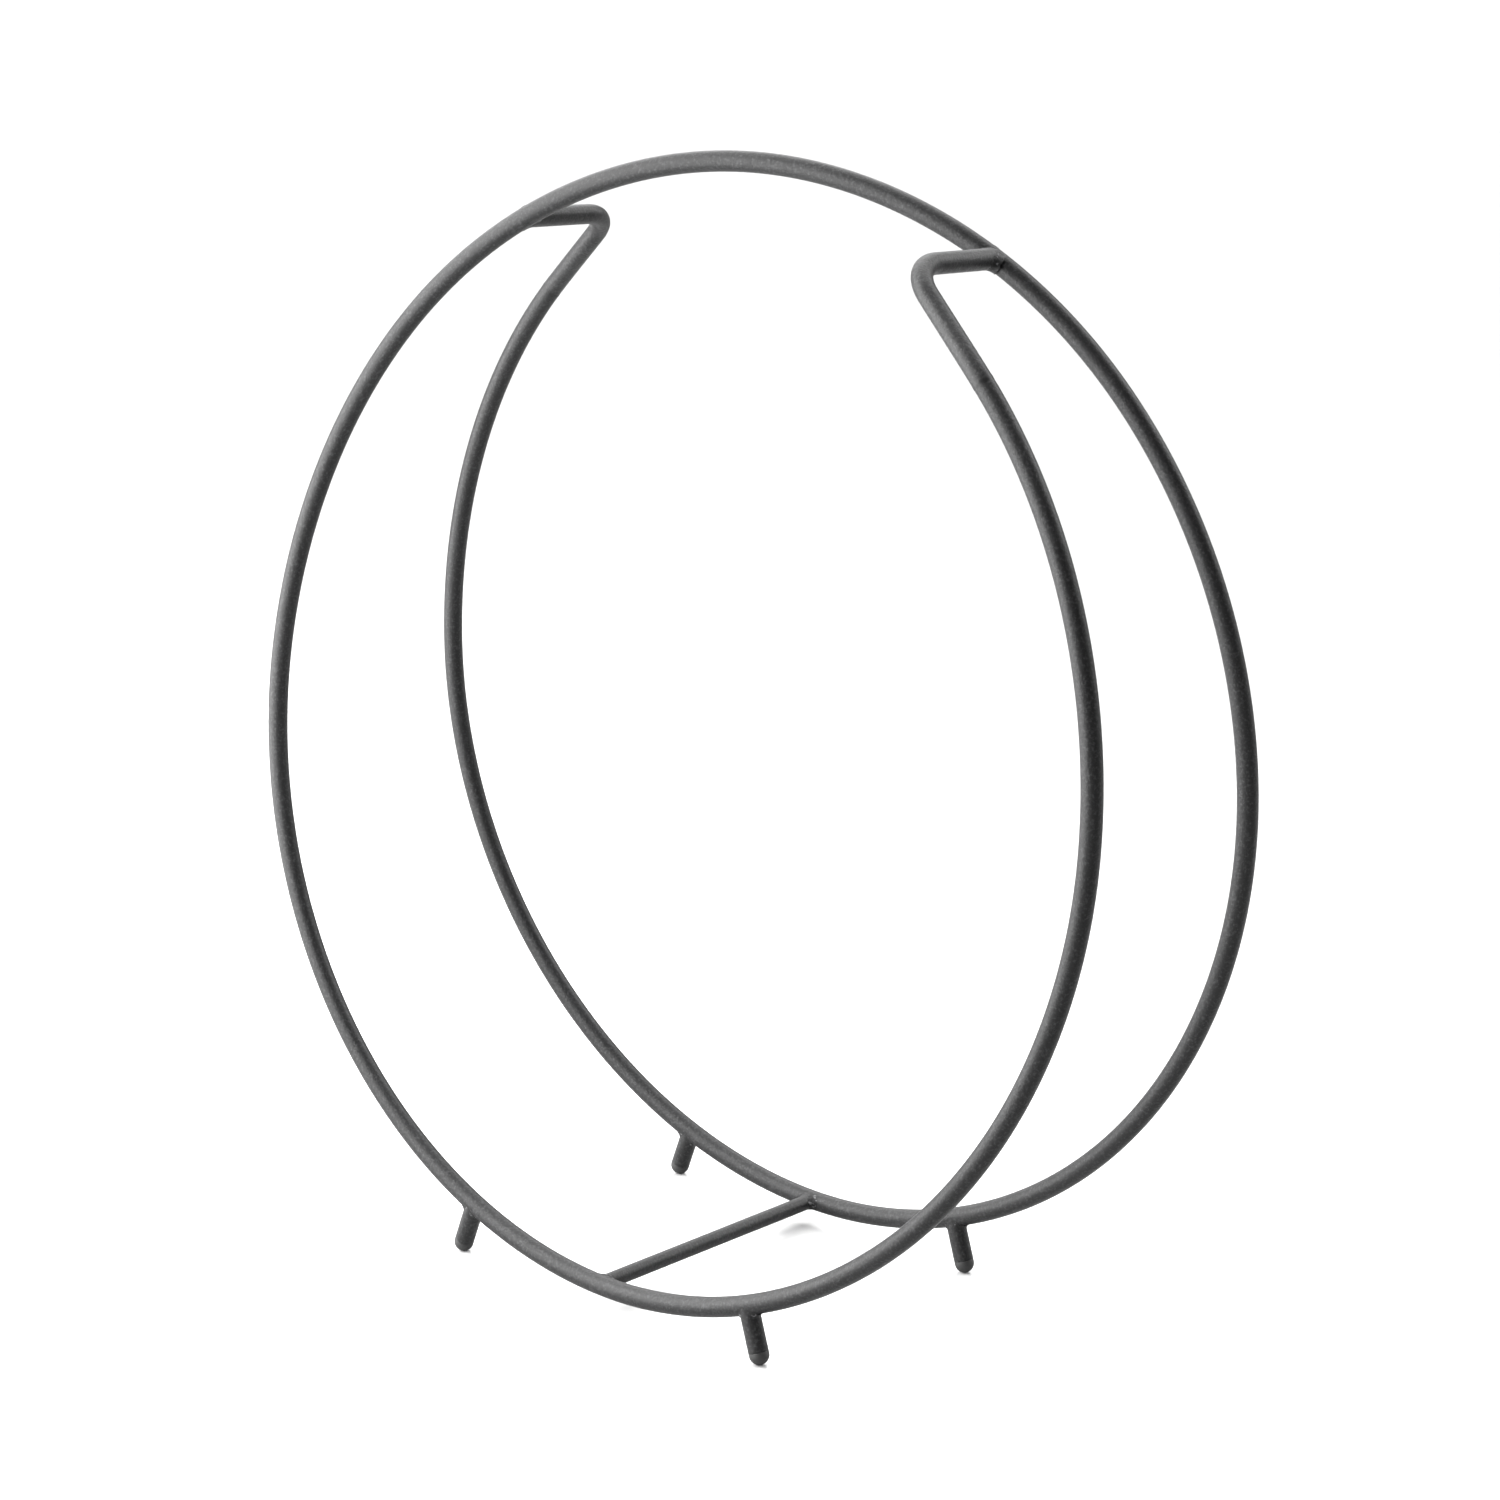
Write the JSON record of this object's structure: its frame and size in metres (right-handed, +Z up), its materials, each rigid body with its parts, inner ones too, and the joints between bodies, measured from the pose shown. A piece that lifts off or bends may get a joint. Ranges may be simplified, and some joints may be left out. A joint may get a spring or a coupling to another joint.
{
  "type": "firewood log rack",
  "caption": "Round-rod firewood log rack: a double hoop that crosses over at the top, joined by a cross bar and standing on short splayed legs.",
  "frame": {"origin": "centre of the rack's footprint, on the floor under the foot caps", "axes": "+Z up, X along the width of the hoops, Y through the rack from the front hoop (-Y) to the rear hoop (+Y)"},
  "size_m": [0.5248, 0.191, 0.5813],
  "materials": {
    "powder_coated_steel": "fine-texture matte black powder coat",
    "foot_cap_rubber": "matte",
    "coated_weld_bead": "matte black powder coat over weld metal"
  },
  "bodies": {
    "root": {"front_loop_rod": "powder_coated_steel", "rear_loop_rod": "powder_coated_steel", "front_hook_end": "powder_coated_steel", "rear_hook_end": "powder_coated_steel", "cross_bar": "powder_coated_steel", "front_left_leg": "powder_coated_steel", "front_right_leg": "powder_coated_steel", "rear_left_leg": "powder_coated_steel", "rear_right_leg": "powder_coated_steel", "front_left_foot_cap": "foot_cap_rubber", "front_right_foot_cap": "foot_cap_rubber", "rear_left_foot_cap": "foot_cap_rubber", "rear_right_foot_cap": "foot_cap_rubber", "front_left_leg_weld": "coated_weld_bead", "front_right_leg_weld": "coated_weld_bead", "rear_left_leg_weld": "coated_weld_bead", "rear_right_leg_weld": "coated_weld_bead", "front_bar_weld": "coated_weld_bead", "rear_bar_weld": "coated_weld_bead", "front_hook_weld": "coated_weld_bead", "rear_hook_weld": "coated_weld_bead", "front_seam_weld": "coated_weld_bead", "rear_seam_weld": "coated_weld_bead"}
  },
  "joints": []
}
